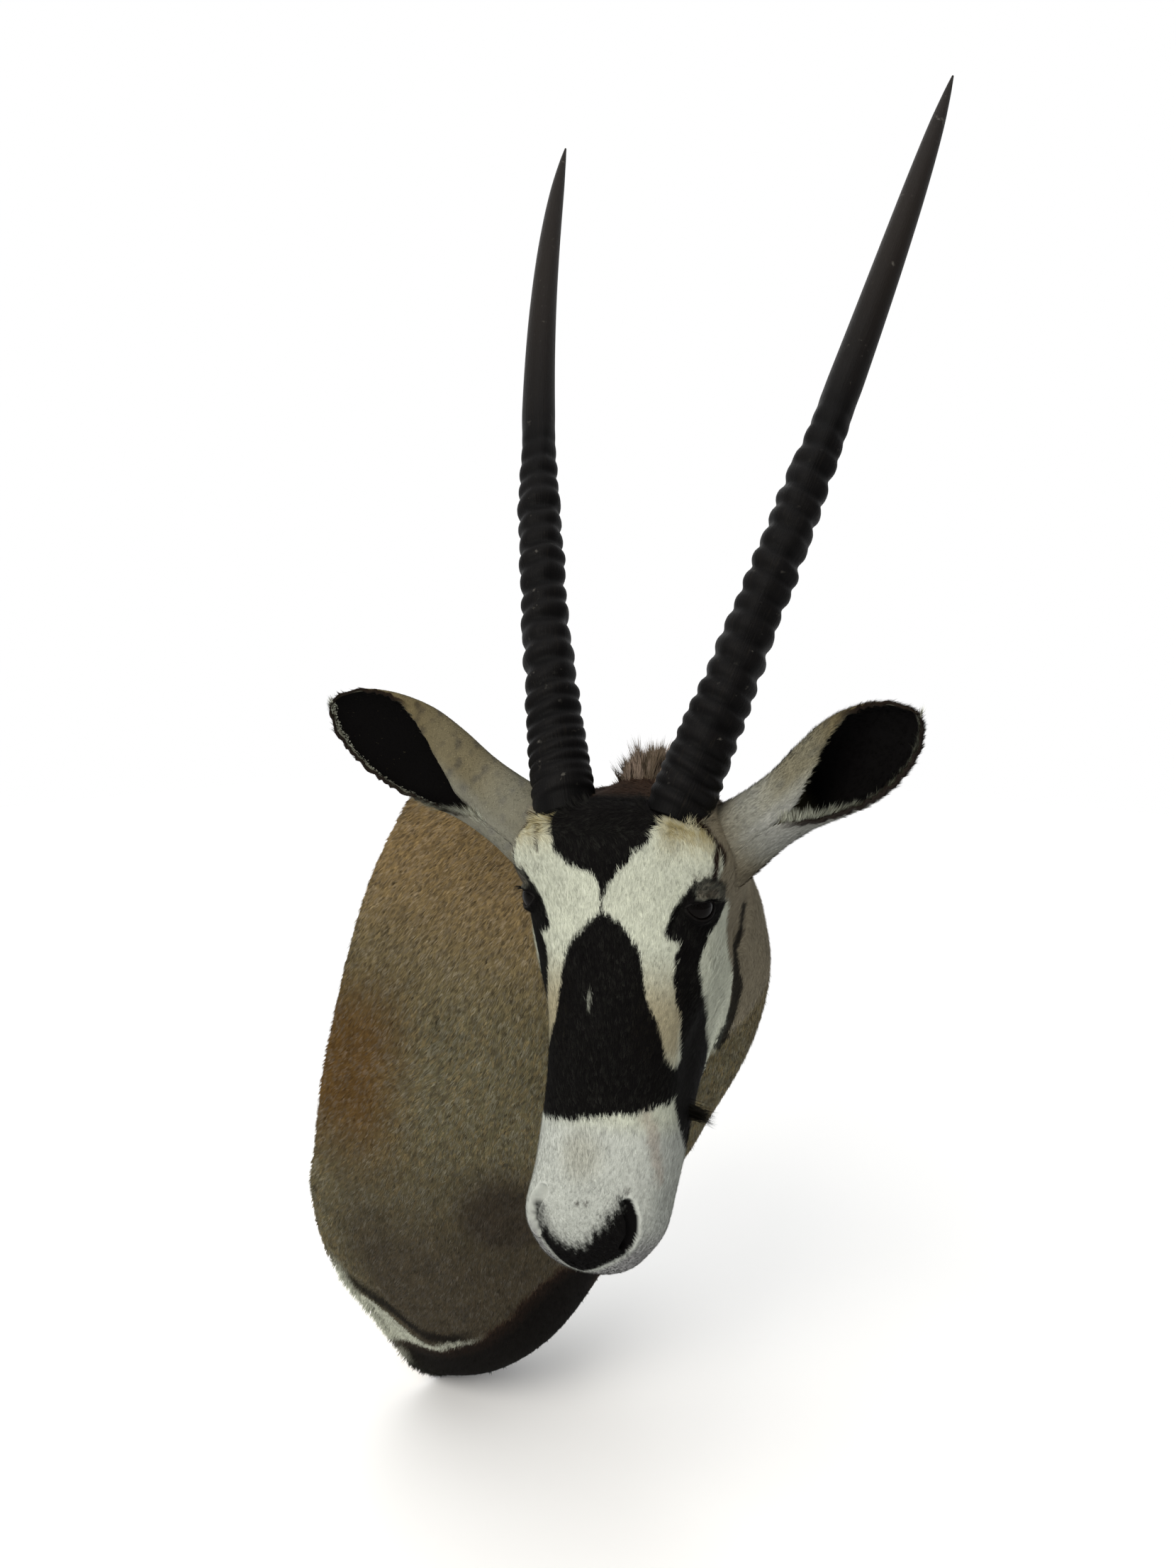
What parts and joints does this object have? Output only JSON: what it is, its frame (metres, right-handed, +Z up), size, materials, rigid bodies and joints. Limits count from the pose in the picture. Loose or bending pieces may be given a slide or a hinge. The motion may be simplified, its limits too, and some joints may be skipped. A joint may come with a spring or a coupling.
{
  "type": "gemsbok shoulder mount",
  "caption": "Taxidermy shoulder mount of a gemsbok that hangs on a wall, head turned to its right, with long ringed horns, ears, glass eyes and a back board.",
  "frame": {"origin": "middle of the flat back that lies on the wall", "axes": "+Y into the wall, -Y out into the room, +Z up; the animal's right side is -X"},
  "size_m": [0.6321, 0.7075, 1.6001],
  "materials": {
    "hide": "tanned hide with short fawn hair, black and white face markings",
    "horn": "keratin horn, near black, satin, ringed below and smooth above",
    "eye_glass": "painted glass eye, very dark brown, glossy",
    "plywood": "bare plywood",
    "steel": "zinc plated steel plate"
  },
  "bodies": {
    "root": {"hide": "hide", "left_horn": "horn", "right_horn": "horn", "left_eye": "eye_glass", "right_eye": "eye_glass", "back_board": "plywood", "hanger": "steel"}
  },
  "joints": []
}
